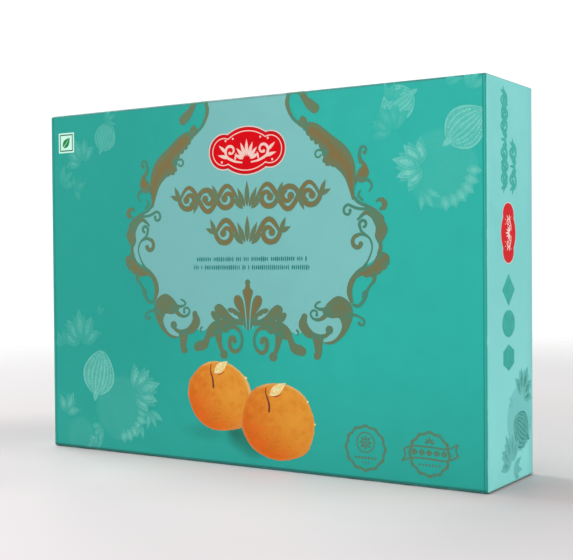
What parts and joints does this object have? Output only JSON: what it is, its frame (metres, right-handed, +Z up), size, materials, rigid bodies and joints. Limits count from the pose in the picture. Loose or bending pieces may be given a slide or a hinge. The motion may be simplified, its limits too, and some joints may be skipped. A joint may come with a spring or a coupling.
{
  "type": "shut sweet carton",
  "caption": "Shut folding carton for round sweets, standing on its long narrow side, with tucked end panels.",
  "frame": {"origin": "middle of the footprint, at the height of the surface that the carton stands on", "axes": "+X along the length, +Y to the back, +Z up; the large printed panel faces -Y"},
  "size_m": [0.233, 0.05, 0.165],
  "materials": {
    "printed_board": "folding boxboard printed teal under a satin varnish",
    "pale_print": "pale teal ink under a satin varnish",
    "bronze_print": "bronze-brown ink under a satin varnish",
    "red_print": "red ink under a satin varnish",
    "sweet_print": "printed picture of orange sweets under a satin varnish"
  },
  "bodies": {
    "root": {"carton": "printed_board"}
  },
  "joints": []
}
